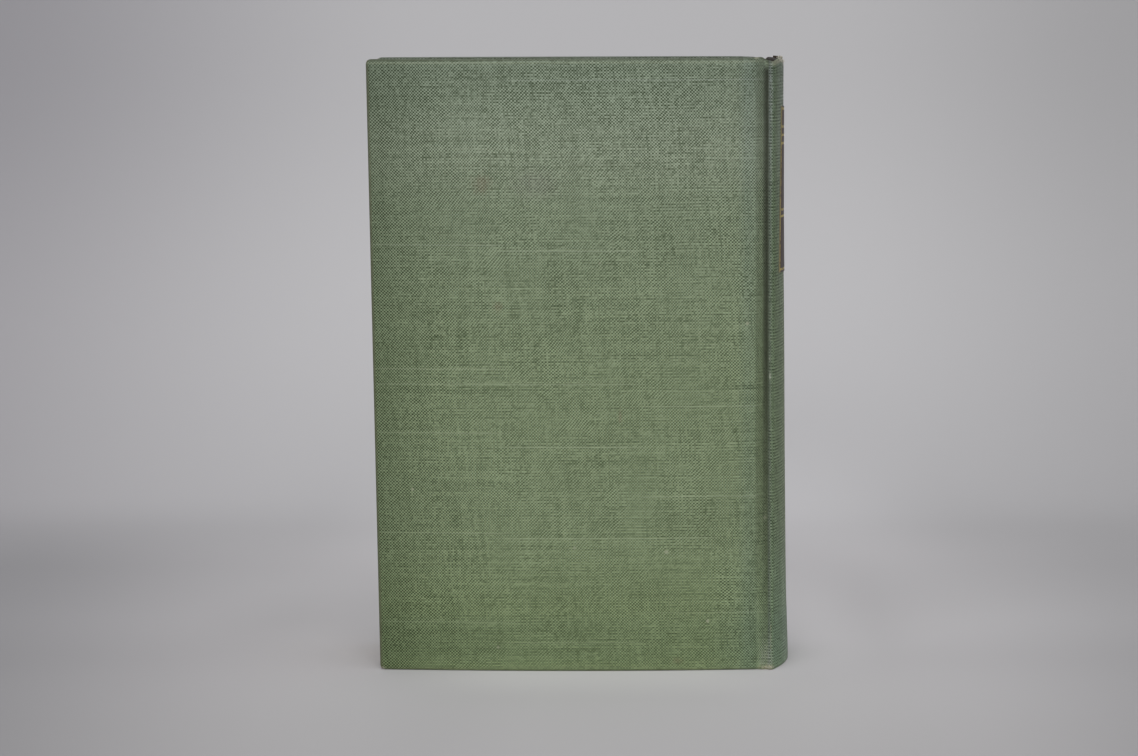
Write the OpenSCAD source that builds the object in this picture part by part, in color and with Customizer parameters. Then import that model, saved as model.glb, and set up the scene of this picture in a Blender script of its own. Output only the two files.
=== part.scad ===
// Cloth-bound hardback book, standing upright on its tail edges.
// +Z runs from tail to head, +X from fore-edge to spine, and +Y from the rear
// cover to the front cover. The origin is the centre of the footprint.
// Millimetres.

/* [Pages] */
// Height of the trimmed pages
page_h = 191; // [120:1:300]
// Width of a page, from its fore-edge to the shoulder of the spine
page_w = 124; // [80:1:220]
// Thickness of the pages at the shoulder and at the fore-edge
block_t = 26.9; // [16:0.1:60]
// How much each side of the book swells outward between its edges
swell = 2; // [0.2:0.1:4]
// Depth of the hollow in the fore-edge, left by rounding the back
fore_hollow = 4; // [1:0.1:7]
// How far the pages' back stands beyond the shoulders
back_round = 3; // [1.5:0.1:6]

/* [Shoulder] */
// Radius at the tip of the page shoulder
tip_r = 0.3; // [0.2:0.05:0.5]
// Radius at the foot of the page shoulder
foot_r = 1.5; // [1:0.1:2]
// Lean of the shoulder's wall, in degrees from square
shoulder_lean = 10; // [0:1:20]

/* [Case] */
// Overhang of the boards past the pages at head, tail and fore-edge
square_w = 3; // [2:0.1:6]
// Thickness of the bare board
board_t = 2.5; // [1.5:0.1:4]
// Thickness of the bookcloth
cloth_t = 0.35; // [0.2:0.01:0.5]
// Width of cloth folded over onto the inside of the case
turn_in = 15; // [8:0.5:25]
// Radius of the covered boards' corners, seen from the front
corner_r = 1; // [0.5:0.1:1.1]
// How far the case's back stands beyond the shoulders
spine_round = 5; // [4.9:0.1:9]

/* [Joint] */
// Distance from the covered board's edge to the middle of the shoulder
joint_w = 4.2; // [4:0.1:7]
// Radius of the cloth over the shoulder
ridge_r = 1.3; // [1.1:0.05:1.6]
// Radius of the cloth at the foot of the groove
groove_r = 0.8; // [0.5:0.05:1]
// Height of the groove's floor above the pages
groove_lift = 1.2; // [1:0.05:1.6]
// Clearance between the groove's cloth and the turning cover
groove_gap = 0.3; // [0.2:0.05:0.5]
// Distance from the covered board's edge to the line that the cover turns on
hinge_off = 3.55; // [3.4:0.05:3.7]

/* [Papers] */
// Thickness of the endpapers
paper_t = 0.15; // [0.1:0.01:0.2]
// Room between a closed cover and its flyleaf
lay_gap = 0.3; // [0.1:0.05:0.5]
// Glue line between pasted layers
glue = 0.03; // [0.02:0.005:0.05]
// Thickness of the card that stiffens the case's back
inlay_t = 0.3; // [0.2:0.02:0.4]
// Width of that card across the back
inlay_w = 27; // [12:0.5:28]

/* [Back of the pages] */
// Thickness of the gauze glued to the back
mull_t = 0.2; // [0.1:0.02:0.25]
// Distance that the gauze stops short of the head and the tail
mull_short = 13; // [11:0.5:25]
// Width of the gauze pasted to each board
flap_w = 25; // [15:0.5:35]
// Thickness of the paper over the gauze
lining_t = 0.15; // [0.1:0.01:0.2]
// Distance that the paper stops short of the pages' head and tail
lining_short = 1; // [0.5:0.5:20]
// Width of that paper
lining_w = 20; // [10:0.5:21]
// Radius of the headband's bead
band_r = 1; // [0.7:0.05:1.4]
// Height of the headband's tape on the back
tape_h = 8; // [4:0.5:10]
// Share of the back's arc that the headband covers
band_share = 0.8; // [0.5:0.05:0.9]

/* [Label] */
// Width of the label around the spine
label_w = 22; // [8:0.5:24]
// Height of the label
label_h = 52.5; // [20:0.5:80]
// Distance from the head of the spine to the label
label_drop = 16; // [8:0.5:30]
// Thickness of the label's leather
label_t = 0.22; // [0.15:0.01:0.4]
// Depth of its tooled lines
tool_depth = 0.06; // [0.03:0.01:0.1]
// Width of its tooled lines
rule_w = 0.6; // [0.3:0.05:1]
// Distance from the label's edge to its tooled frame
frame_in = 0.5; // [0.3:0.05:1.5]

/* [Hidden] */

// Overall size of the case, without its label
case_h = page_h + 2 * square_w;
case_w = square_w + page_w + spine_round;

// Places along X, from fore-edge to spine, with the label's face included
fore_x = -(case_w + glue + label_t) / 2;
page_x = fore_x + square_w;
shoulder_x = page_x + page_w;
edge_x = shoulder_x - joint_w;
hinge_x = edge_x + hinge_off;
apex_x = fore_x + case_w;
page_apex_x = shoulder_x + back_round;

// Levels outward from the side of the pages
flyleaf_in = glue;
flyleaf_out = flyleaf_in + paper_t;
paste_in = flyleaf_out + lay_gap;
paste_out = paste_in + paper_t;
turn_lo = paste_out + glue;
turn_hi = turn_lo + cloth_t;
board_lo = turn_hi + glue;
board_hi = board_lo + board_t;
cover_in = board_hi + glue;
cover_out = cover_in + cloth_t;

// Half thickness of the pages at their edges, and the hinge line's distance
// from the middle of the book: halfway through the closed cover
side_e = block_t / 2;
hinge_y = side_e + (paste_in + cover_out) / 2;

// The shoulder's centre: the cloth over it is level with the closed board
tip_y = side_e + cover_out - ridge_r;

// Fit of the papers and the gauze beside the turned-in cloth
fit = 0.4;

// How far a cutting shape runs past what it cuts
past = 1;

// Steps in the drawn curves
side_steps = 24;
back_steps = 14;
bend_steps = 8;
sheet_steps = 12;
bead_steps = 36;

// Two covers from one set of modules
module mirrored_rear() { mirror([0, 1, 0]) children(); }

// Points on an arc about c, from angle a to angle b
function arc(c, r, a, b, n) =
    [for (i = [0:n]) let (t = a + (b - a) * i / n) c + r * [cos(t), sin(t)]];

function reversed(list) = [for (i = [len(list) - 1:-1:0]) list[i]];
function flipped(list) = [for (p = list) [p.x, -p.y]];

// Side of the pages as a gentle curve, straight from the board's edge inward
side_mid = (fore_x + edge_x) / 2;
side_half = (edge_x - fore_x) / 2;
side_table = [for (i = [0:side_steps])
    let (u = -1 + 2 * i / side_steps)
    [side_mid + u * side_half, side_e + swell * (1 - u * u)]];
function side(x) = lookup(x, side_table);
function side_stations(x0, x1) = concat(
    [x0], [for (p = side_table) if (p.x > x0 + 0.01 && p.x < x1 - 0.01) p.x], [x1]);
function side_line(x0, x1, d) = [for (x = side_stations(x0, x1)) [x, side(x) + d]];

// Radius of a back that meets the shoulder's rounding of radius r and stands
// k beyond the shoulder's centre
function back_radius(k, r) = (k * k + tip_y * tip_y - r * r) / (2 * (k - r));

// One half of a rounded back: from its apex round the shoulder, down the
// shoulder's wall and into the foot of the groove
function back_line(apex, r, foot, floor_y, d) =
    let (big = back_radius(apex - shoulder_x, r),
         c = [apex - big, 0],
         meet = atan2(tip_y, shoulder_x - c.x),
         wall = 180 - shoulder_lean,
         foot_y = floor_y + foot,
         reach = shoulder_x * cos(wall) + tip_y * sin(wall) + r + foot,
         foot_x = (reach - sin(wall) * foot_y) / cos(wall))
    concat(arc(c, big + d, 0, meet, back_steps),
           arc([shoulder_x, tip_y], r + d, meet, wall, bend_steps),
           arc([foot_x, foot_y], foot - d, wall - 180, -90, bend_steps));

function page_back(d) = back_line(page_apex_x, tip_r, foot_r, side_e, d);
function case_back(d) = back_line(apex_x, ridge_r, groove_r, groove_floor, d);

// A closed strip between two lines that run the same way
module strip(a, b) { polygon(concat(a, reversed(b))); }

// A sheet that follows a whole back, between two offsets from it
module back_strip(outer, inner) {
    strip(concat(reversed(outer), flipped(outer)), concat(reversed(inner), flipped(inner)));
}

// A sheet on the side of the pages, between two levels
module side_sheet(x0, x1, z0, z1, d0, d1) {
    translate([0, 0, z0]) linear_extrude(z1 - z0)
        strip(side_line(x0, x1, d1), side_line(x0, x1, d0));
}

// A sheet on an arc of the back, w wide across it, between two offsets
module arc_sheet(apex, r, w, z0, z1, d0, d1) {
    big = back_radius(apex - shoulder_x, r);
    a = asin(w / 2 / big);
    c = [apex - big, 0];
    translate([0, 0, z0]) linear_extrude(z1 - z0)
        strip(arc(c, big + d1, -a, a, sheet_steps), arc(c, big + d0, -a, a, sheet_steps));
}

// Where the side of the pages turns up into the shoulder, and where the
// groove's cloth ends: both just clear of the cover as it turns
page_foot = page_back(0);
page_foot_x = page_foot[len(page_foot) - 1].x;
groove_floor = side_e + groove_lift;
groove_reach = hinge_off - groove_gap;
groove_drop = hinge_y - (groove_floor - cloth_t);
groove_end_x = hinge_x - sqrt(groove_reach * groove_reach - groove_drop * groove_drop);

module page_sheet(w, z0, z1, d0, d1) { arc_sheet(page_apex_x, tip_r, w, z0, z1, d0, d1); }
module case_sheet(w, z0, z1, d0, d1) { arc_sheet(apex_x, ridge_r, w, z0, z1, d0, d1); }

// A rectangle with round corners
module rounded(w, h, r) {
    translate([r, 0]) square([w - 2 * r, h]);
    translate([0, r]) square([w, h - 2 * r]);
    for (x = [r, w - r], y = [r, h - r]) translate([x, y]) circle(r);
}

// The sewn pages: hollow fore-edge, swollen sides, shoulders and a round back
module text_block() {
    corner_y = side(page_x);
    fore_r = (corner_y * corner_y + fore_hollow * fore_hollow) / (2 * fore_hollow);
    fore_a = asin(corner_y / fore_r);
    fore_edge = arc([page_x + fore_hollow - fore_r, 0], fore_r, fore_a, -fore_a, 2 * bend_steps);
    half = concat(page_back(0), reversed(side_line(page_x, edge_x, 0)));
    middle = [for (i = [1:len(fore_edge) - 2]) fore_edge[i]];
    other = reversed(flipped(half));
    color("#e4dcc6") translate([0, 0, square_w]) linear_extrude(page_h)
        polygon(concat(half, middle, [for (i = [0:len(other) - 2]) other[i]]));
}

// The free half of each endpaper, tipped to the pages along the shoulder
module flyleaf() {
    color("#ece6d3")
        side_sheet(page_x, page_foot_x - fit, square_w, case_h - square_w,
                   flyleaf_in, flyleaf_out);
}
module front_flyleaf() { flyleaf(); }
module rear_flyleaf() { mirrored_rear() flyleaf(); }

// Open gauze over the back and round both shoulders
module mull() {
    z0 = square_w + mull_short;
    color("#e9e3cf") translate([0, 0, z0]) linear_extrude(case_h - 2 * z0)
        back_strip(page_back(glue + mull_t), page_back(glue));
}

// Paper over the gauze and the headbands' tapes
module back_lining() {
    lo = 2 * glue + mull_t;
    z0 = square_w + lining_short;
    color("#b59a6e")
        page_sheet(lining_w, z0, case_h - z0, lo, lo + lining_t);
}

// A bead on the edge of the pages, and the tape that holds it to the back
module end_band() {
    big = back_radius(back_round, tip_r);
    a = band_share * atan2(tip_y, big - back_round);
    top = page_h / 2;
    color("#d8cba6") translate([page_apex_x - big, 0, 0])
        rotate([0, 0, -a]) rotate_extrude(angle = 2 * a, $fn = 10 * bead_steps) {
            translate([big + glue + mull_t - band_r, top + glue + band_r])
                circle(band_r, $fn = bead_steps);
            translate([big + glue, top - tape_h]) square([mull_t, tape_h + band_r]);
        }
}
module headband() { translate([0, 0, case_h / 2]) end_band(); }
module tailband() { translate([0, 0, case_h / 2]) mirror([0, 0, 1]) end_band(); }

// Card that keeps the hollow back of the case in shape
module spine_inlay() {
    color("#9c8b6a")
        case_sheet(inlay_w, cloth_t + glue, case_h - cloth_t - glue,
                   -cloth_t - glue - inlay_t, -cloth_t - glue);
}

// Cloth over the back and into both grooves, folded in at head and tail
module spine_cloth() {
    fold_out = cloth_t + 2 * glue + inlay_t;
    outer = concat(case_back(0), [[groove_end_x, groove_floor]]);
    inner = concat(case_back(-cloth_t), [[groove_end_x, groove_floor - cloth_t]]);
    color("#66755a") {
        linear_extrude(case_h) back_strip(outer, inner);
        for (top = [0, 1]) translate([0, 0, top * case_h]) mirror([0, 0, top]) {
            case_sheet(inlay_w, 0, turn_in, -fold_out - cloth_t, -fold_out);
            case_sheet(inlay_w, 0, cloth_t, -fold_out - cloth_t, -cloth_t / 2);
        }
    }
}

// Leather label with a tooled frame and rules, and no lettering
module spine_label() {
    z1 = case_h - label_drop;
    z0 = z1 - label_h;
    floor_d = glue + label_t - tool_depth;
    line_w = label_w - 2 * frame_in;
    // Heights of the rules, as shares of the label's height from its foot
    rules = [0.33, 0.37, 0.77, 0.82, 0.87];
    color("#5d4742") difference() {
        case_sheet(label_w, z0, z1, glue, glue + label_t);
        for (share = rules)
            tooled(line_w, z0 + share * label_h, rule_w, floor_d);
        difference() {
            tooled(line_w, z0 + frame_in, label_h - 2 * frame_in, floor_d);
            tooled(line_w - 2 * rule_w, z0 + frame_in + rule_w,
                   label_h - 2 * frame_in - 2 * rule_w, floor_d - past);
        }
    }
}
module tooled(w, z, h, d) { case_sheet(w, z, z + h, d, d + 2 * past); }

// Millboard, bowed with the side of the book
module board() {
    color("#8d7f69")
        side_sheet(fore_x + cloth_t + glue, edge_x - cloth_t - glue,
                   cloth_t + glue, case_h - cloth_t - glue, board_lo, board_hi);
}
module front_board() { board(); }
module rear_board() { mirrored_rear() board(); }

// Cloth over one board: its outside, its four edges and the turned-in margins
module cover_cloth() {
    reach = side_e + swell + cover_out + past;
    color("#6f7c61") intersection() {
        difference() {
            side_sheet(fore_x, edge_x, 0, case_h, turn_lo, cover_out);
            side_sheet(fore_x + cloth_t, edge_x - cloth_t,
                       cloth_t, case_h - cloth_t, turn_hi, cover_in);
            side_sheet(fore_x + turn_in, edge_x + past, turn_in, case_h - turn_in,
                       turn_lo - past, turn_hi + cloth_t);
        }
        translate([fore_x, reach, 0]) rotate([90, 0, 0]) linear_extrude(reach)
            rounded(edge_x - fore_x, case_h, corner_r);
    }
}
module front_cloth() { cover_cloth(); }
module rear_cloth() { mirrored_rear() cover_cloth(); }

// The gauze's flap on the inside of a board, between the turn-ins
module mull_flap() {
    color("#e9e3cf")
        side_sheet(edge_x - flap_w, edge_x - cloth_t, turn_in + fit, case_h - turn_in - fit,
                   turn_lo, turn_lo + mull_t);
}
module front_mull_flap() { mull_flap(); }
module rear_mull_flap() { mirrored_rear() mull_flap(); }

// The pasted half of each endpaper, which sinks between the turn-ins
module pastedown() {
    field_x0 = fore_x + turn_in + fit;
    field_x1 = edge_x - flap_w - fit;
    field_z = turn_in + fit;
    floor_d = board_lo - glue;
    color("#ece6d3") difference() {
        union() {
            side_sheet(page_x, edge_x - cloth_t, square_w, case_h - square_w, paste_in, paste_out);
            side_sheet(field_x0, field_x1, field_z, case_h - field_z, paste_in, floor_d);
        }
        side_sheet(field_x0 + paper_t, field_x1 - paper_t,
                   field_z + paper_t, case_h - field_z - paper_t,
                   paste_in - past, floor_d - paper_t);
    }
}
module front_pastedown() { pastedown(); }
module rear_pastedown() { mirrored_rear() pastedown(); }

text_block();
front_flyleaf();
rear_flyleaf();
mull();
back_lining();
headband();
tailband();
spine_inlay();
spine_cloth();
spine_label();
front_board();
front_cloth();
front_mull_flap();
front_pastedown();
rear_board();
rear_cloth();
rear_mull_flap();
rear_pastedown();
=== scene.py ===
# %% [markdown]
# # A cloth-bound hardback book, standing on its tail
# The book is two things that meet at the joints: a sewn block of pages, and a case of two boards
# and a card spine under one piece of green bookcloth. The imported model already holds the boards,
# the papers, the gauze and the hinge lines at their real sizes. This script dresses it: the cloth
# as one folded sheet, the pages as sewn gatherings, and the finish of every surface.

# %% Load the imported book
import math
import random

import bmesh
import bpy
from mathutils import Matrix, Vector
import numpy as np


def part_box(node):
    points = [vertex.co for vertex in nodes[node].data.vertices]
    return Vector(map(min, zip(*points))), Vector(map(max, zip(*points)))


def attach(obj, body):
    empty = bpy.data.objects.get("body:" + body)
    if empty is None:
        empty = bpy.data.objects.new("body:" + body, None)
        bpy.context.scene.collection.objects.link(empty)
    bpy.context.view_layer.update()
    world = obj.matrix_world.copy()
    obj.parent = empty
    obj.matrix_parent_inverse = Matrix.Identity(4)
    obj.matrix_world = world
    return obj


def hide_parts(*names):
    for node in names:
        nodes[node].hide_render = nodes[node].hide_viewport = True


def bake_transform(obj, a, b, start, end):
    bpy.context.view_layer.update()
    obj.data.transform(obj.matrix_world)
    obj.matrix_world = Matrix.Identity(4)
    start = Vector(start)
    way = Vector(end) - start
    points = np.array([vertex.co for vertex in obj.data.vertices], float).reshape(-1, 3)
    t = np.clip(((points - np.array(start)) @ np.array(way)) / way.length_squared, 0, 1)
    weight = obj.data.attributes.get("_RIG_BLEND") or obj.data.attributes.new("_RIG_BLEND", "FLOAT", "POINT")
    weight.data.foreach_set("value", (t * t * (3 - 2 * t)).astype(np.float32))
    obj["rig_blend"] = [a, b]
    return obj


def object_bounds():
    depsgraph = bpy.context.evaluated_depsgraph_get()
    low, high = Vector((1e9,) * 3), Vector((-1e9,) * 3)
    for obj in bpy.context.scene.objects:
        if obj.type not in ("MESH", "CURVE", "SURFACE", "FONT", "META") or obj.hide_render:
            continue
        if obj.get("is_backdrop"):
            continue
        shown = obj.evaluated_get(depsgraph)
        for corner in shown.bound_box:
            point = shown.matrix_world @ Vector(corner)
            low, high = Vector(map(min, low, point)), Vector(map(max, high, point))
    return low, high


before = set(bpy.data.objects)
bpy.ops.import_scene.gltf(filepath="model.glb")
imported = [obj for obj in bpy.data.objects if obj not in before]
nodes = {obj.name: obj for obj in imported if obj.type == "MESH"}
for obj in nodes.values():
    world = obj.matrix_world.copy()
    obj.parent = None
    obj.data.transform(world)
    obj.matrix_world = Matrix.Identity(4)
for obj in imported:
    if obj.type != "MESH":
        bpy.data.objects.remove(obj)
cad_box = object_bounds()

# %% [markdown]
# ## Sizes
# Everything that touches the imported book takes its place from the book's own boxes. Only what a
# box can't say, such as a radius, is written here. The front cover is the one at +Y, and the
# shapes below are drawn on that side first and mirrored for the rear.

# %% Sizes of the case
MM = 0.001
TINY = 1e-6
GLUE = 0.03 * MM
CLOTH = 0.35 * MM
cover_lo, cover_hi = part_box("front_cloth")
FORE, EDGE, HEIGHT = cover_lo.x, cover_hi.x, cover_hi.z
SWELL = 2.0 * MM
OUT, INSIDE = cover_hi.y - SWELL, cover_lo.y
THICK = OUT - INSIDE
TURN_IN = 15.0 * MM
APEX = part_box("spine_cloth")[1].x
SHOULDER = EDGE + 4.5 * MM
RIDGE_R = 1.0 * MM
FOOT_R = 0.8 * MM
EDGE_R = 1.1 * MM
PAGE_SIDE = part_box("front_flyleaf")[0].y - GLUE
FLOOR = PAGE_SIDE + 1.2 * MM
print("cover %.1f x %.1f mm, %.2f mm thick" % ((EDGE - FORE) / MM, HEIGHT / MM, THICK / MM))

# %% [markdown]
# ## The arcs of the back
# A rounded and backed book has a back that is one large arc. At each shoulder it runs into a small
# round ridge, which leans over the groove, and the ridge's foot runs into the groove's floor. Each
# arc is tangent to the next, so three centres and their angles describe the whole profile. A curve
# drawn by eye would look alike, but only arcs give the cloth's true length, which the weave needs.

# %% Centres and angles of the back
TIP = OUT - RIDGE_R
WALL = math.radians(170)
bulge = APEX - SHOULDER
BACK_R = (bulge ** 2 + TIP ** 2 - RIDGE_R ** 2) / (2 * (bulge - RIDGE_R))
BACK_X = APEX - BACK_R
MEET = math.atan2(TIP, SHOULDER - BACK_X)
foot_y = FLOOR + FOOT_R
reach = SHOULDER * math.cos(WALL) + TIP * math.sin(WALL) + RIDGE_R + FOOT_R
FOOT = Vector(((reach - math.sin(WALL) * foot_y) / math.cos(WALL), foot_y))
RIDGE = Vector((SHOULDER, TIP))
# The board's rounded edge runs straight down into the groove's foot
BROW = Vector((EDGE - EDGE_R, OUT - EDGE_R))
span = FOOT - BROW
SLOPE = math.atan2(span.y, span.x) + math.acos((EDGE_R + FOOT_R) / span.length)


def on_circle(centre, radius, angle):
    return centre + radius * Vector((math.cos(angle), math.sin(angle)))


def bow(x):
    """How far a board stands out from flat at x: both boards bow outward with the swell."""
    u = (x - (FORE + EDGE) / 2) / ((EDGE - FORE) / 2)
    return SWELL * max(0.0, 1 - u * u)


print("back radius %.1f mm, meets the ridge at %.1f degrees" % (BACK_R / MM, math.degrees(MEET)))

# %% [markdown]
# ## The cloth over a board
# A binder lays the board on a flat sheet of cloth and turns three margins in over its edges. The
# same shape comes from a box: its rim is rounded, the wall on the spine side is taken off, and a
# window is cut inside, so that a margin 15 mm wide is left. The mitre at each corner is cut as
# well, because the weave changes direction there. A flat sheet with a Solidify modifier would be
# quicker, but it has no rounded rim and nothing to see inside an open cover.

# %% Cut and round the covered board
CORNER_R = 1.5 * MM
RIM_R = 0.8 * MM
SHEET_START = EDGE - EDGE_R
CELL = 4.0 * MM


def all_of(bm):
    return bm.verts[:] + bm.edges[:] + bm.faces[:]


def unique(items):
    """Each item once, in the order given, so that every run builds the same mesh."""
    return list(dict.fromkeys(items))


def with_ends(edges):
    return unique(v for e in edges for v in e.verts) + edges


def with_parts(faces):
    """Faces with their edges and corners, as bisect_plane wants them."""
    return faces + with_ends(unique(e for f in faces for e in f.edges))


def steps_between(start, end, size):
    count = max(1, round((end - start) / size))
    return [start + (end - start) * i / count for i in range(1, count)]


def round_over(bm, edges, radius, segments):
    bmesh.ops.bevel(bm, geom=edges, offset=radius, segments=segments, affect="EDGES",
                    profile=0.5, material=-1, clamp_overlap=True)


def cut(bm, geom, place, normal):
    bmesh.ops.bisect_plane(bm, geom=geom, dist=TINY / 10, plane_co=place, plane_no=normal)


def cut_level(bm, start, end, size):
    """Cuts a tall piece across every so often, so that it can bend."""
    for z in steps_between(start, end, size):
        cut(bm, all_of(bm), (0, 0, z), (0, 0, 1))


def lies_at(edge, axis, place):
    return all(abs(v.co[axis] - place) < TINY for v in edge.verts)


def inner_faces(bm):
    return [f for f in bm.faces if all(abs(v.co.y - INSIDE) < TINY for v in f.verts)]


def covered_board():
    """The skin of one board, open on its spine side and inside its turned-in margins."""
    bm = bmesh.new()
    bmesh.ops.create_cube(bm, size=1)
    bmesh.ops.scale(bm, vec=(SHEET_START - FORE, THICK, HEIGHT), verts=bm.verts)
    centre = ((SHEET_START + FORE) / 2, (OUT + INSIDE) / 2, HEIGHT / 2)
    bmesh.ops.translate(bm, vec=centre, verts=bm.verts)
    spine_side = [f for f in bm.faces if f.normal.x > 0.9]
    bmesh.ops.delete(bm, geom=spine_side, context="FACES")
    corners = [e for e in bm.edges if lies_at(e, 0, FORE) and not lies_at(e, 1, OUT)
               and not lies_at(e, 1, INSIDE)]
    round_over(bm, corners, CORNER_R, 4)
    rim = [e for e in bm.edges if not e.is_boundary
           and (lies_at(e, 1, OUT) or lies_at(e, 1, INSIDE))]
    round_over(bm, rim, RIM_R, 3)
    for place, normal in [((FORE, 0, 0), (1, 0, -1)), ((FORE, 0, HEIGHT), (1, 0, 1)),
                          ((FORE + TURN_IN, 0, 0), (1, 0, 0)), ((0, 0, TURN_IN), (0, 0, 1)),
                          ((0, 0, HEIGHT - TURN_IN), (0, 0, 1))]:
        cut(bm, with_parts(inner_faces(bm)), place, normal)
    window = [f for f in inner_faces(bm) if f.calc_center_median().x > FORE + TURN_IN
              and TURN_IN < f.calc_center_median().z < HEIGHT - TURN_IN]
    bmesh.ops.delete(bm, geom=window, context="FACES")
    for x in steps_between(FORE + 3 * MM, SHEET_START, CELL):
        cut(bm, all_of(bm), (x, 0, 0), (1, 0, 0))
    cut_level(bm, 0, HEIGHT, CELL)
    return bm


# %% [markdown]
# ## The cloth round the back
# The sheet's open edge on the spine side has the outline of the folded cloth: up the outside, over
# the head, and back down inside, and the same at the tail. That outline is extruded down the
# board's edge into the groove, and then it is spun about the three centres. At the groove the two
# layers close up, because there is no board between them. Each point keeps the place that it had
# on the flat sheet, in three layers of numbers, and the weave reads them later. Made as a separate
# tube, the back would show a seam at the joint.

# %% Draw the cloth over the joint and the back
FOLD = 2 * CLOTH + 0.02 * MM


def start_layers(bm):
    """Place on the flat sheet: along the profile, up the height, and depth into a fold."""
    along = bm.verts.layers.float.new("along")
    deep = bm.verts.layers.float.new("deep")
    rise = bm.verts.layers.float.new("rise")
    for v in bm.verts:
        v[along], v[deep], v[rise] = v.co.x, OUT - v.co.y, v.co.z
    return along, deep


def new_row(geom):
    verts = [g for g in geom if isinstance(g, bmesh.types.BMVert)]
    edges = [g for g in geom if isinstance(g, bmesh.types.BMEdge) and set(g.verts) <= set(verts)]
    return verts, edges


def groove_stations():
    """Outer line from the board's outside to where the groove's foot begins."""
    line = [on_circle(BROW, EDGE_R, math.pi / 2 + (SLOPE - math.pi / 2) * i / 4) for i in range(1, 5)]
    foot = on_circle(FOOT, FOOT_R, SLOPE + math.pi)
    return line + [line[-1].lerp(foot, i / 4) for i in range(1, 5)]


def draw_groove(bm, edges, along, deep):
    last = Vector((SHEET_START, OUT))
    stations = groove_stations()
    inner_start = Vector((SHEET_START, INSIDE))
    inner_end = on_circle(FOOT, FOOT_R + FOLD, SLOPE + math.pi)
    for i, outer in enumerate(stations, 1):
        verts, edges = new_row(bmesh.ops.extrude_edge_only(bm, edges=edges)["geom"])
        inner = inner_start.lerp(inner_end, i / len(stations))
        for v in verts:
            v.co.xy = outer.lerp(inner, v[deep] / THICK)
            v[along] += (outer - last).length
        last = outer
    return edges


def roll(bm, edges, centre, radius, degrees, steps, along):
    """The outline turned about one of the profile's centres, a step at a time."""
    turn = math.radians(degrees) / steps
    for _ in range(steps):
        made = bmesh.ops.spin(bm, geom=with_ends(edges), cent=(centre.x, centre.y, 0), axis=(0, 0, 1),
                              angle=turn, steps=1, use_merge=False, use_duplicate=False)
        verts, edges = new_row(made["geom_last"])
        for v in verts:
            v[along] += radius * abs(turn)
    return edges


def slide(bm, edges, move, along):
    verts, edges = new_row(bmesh.ops.extrude_edge_only(bm, edges=edges)["geom"])
    bmesh.ops.translate(bm, vec=(move.x, move.y, 0), verts=verts)
    for v in verts:
        v[along] += move.length
    return edges


def case_cloth(with_back):
    """The cloth of one cover with its groove, and of the whole back too where with_back is set."""
    bm = covered_board()
    along, deep = start_layers(bm)
    edges = [e for e in bm.edges if e.is_boundary and lies_at(e, 0, SHEET_START)]
    edges = draw_groove(bm, edges, along, deep)
    edges = roll(bm, edges, FOOT, FOOT_R, math.degrees(WALL - SLOPE), 8, along)
    if with_back:
        flank = on_circle(RIDGE, RIDGE_R, WALL) - on_circle(FOOT, FOOT_R, WALL - math.pi)
        ridge_turn = math.degrees(MEET - WALL)
        edges = slide(bm, edges, flank, along)
        edges = roll(bm, edges, RIDGE, RIDGE_R, ridge_turn, 10, along)
        edges = roll(bm, edges, Vector((BACK_X, 0)), BACK_R, -2 * math.degrees(MEET), 30, along)
        edges = roll(bm, edges, Vector((RIDGE.x, -RIDGE.y)), RIDGE_R, ridge_turn, 10, along)
        slide(bm, edges, Vector((-flank.x, flank.y)), along)
    return bm


# %% [markdown]
# ## Where the weave lies
# Bookcloth has its threads square to the sheet, and they run on over an edge and round the back.
# So the pattern can't be placed by the book's own X and Z: each corner of each face gets the spot
# that it had on the flat sheet. On a margin, that spot lies beyond the board's edge.

# %% Unfold the cloth into its UV map
FLAT = "flat_cloth"


def unfold(bm, shift):
    uv = bm.loops.layers.uv.new(FLAT)
    along, deep, rise = (bm.verts.layers.float[n] for n in ("along", "deep", "rise"))
    for face in bm.faces:
        count = len(face.verts)
        a = sum(v[along] for v in face.verts) / count
        z = sum(v[rise] for v in face.verts) / count
        near = min((a - FORE, "fore"), (z, "tail"), (HEIGHT - z, "head"))[1]
        for loop in face.loops:
            v = loop.vert
            u, w, d = v[along], v[rise], v[deep]
            inner = d > THICK / 2
            if near == "fore":
                u = (2 * FORE - u if inner else u) - d
            elif near == "tail":
                w = (-w if inner else w) - d
            else:
                w = (2 * HEIGHT - w if inner else w) + d
            loop[uv].uv = (u + shift, w)


# %% [markdown]
# ## How the book has settled
# A handled book isn't as crisp as a new one. The boards keep their bow and stand a little out of
# square, the groove is pressed flat towards the tail, the cap of the spine dips beside the ridge
# at the head, and the foot of the spine flares where the book has stood on it. Each move is read
# from a short table of heights, all in millimetres, and every piece that it reaches takes it. A
# lattice could bend them too, but a table says how far, and is easy to correct.

# %% Settle the case
# Height above the tail, and how far the middle of the back leans out there
LEANS = ((0, 1.5), (6, 1.35), (12.6, 1.15), (22, 0.85), (38, 0.6), (71, 0.26), (103, 0.03),
         (119, -0.13), (135, -0.36), (152, -0.5), (197, -0.5))
# Place on the sheet past the board's edge, and how far the groove is pressed out at the tail
PRESS = ((-0.3, 0), (0.3, 0.5), (1.3, 1.3), (2.3, 2.0), (3.3, 2.3), (4.5, 1.9), (5.8, 0.6), (7, 0))
# Place on the sheet past a board's edge, and how far the cap rises there at the head, from the
# rear board and from the front one
CAP = {-1: ((-4, 0), (0, 0.3), (1.8, 0.3), (2.8, 0.1), (4, -0.8), (8, -1.0), (14, 0.1), (16, 0),
            (19, -1.2), (23, -1.6), (28, -1.2), (31, -0.1), (33, 0), (35, -1.2), (37, -1.3)),
       1: ((-4, 0), (0, -0.2), (1.5, -0.8), (4, -1.3))}
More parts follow.
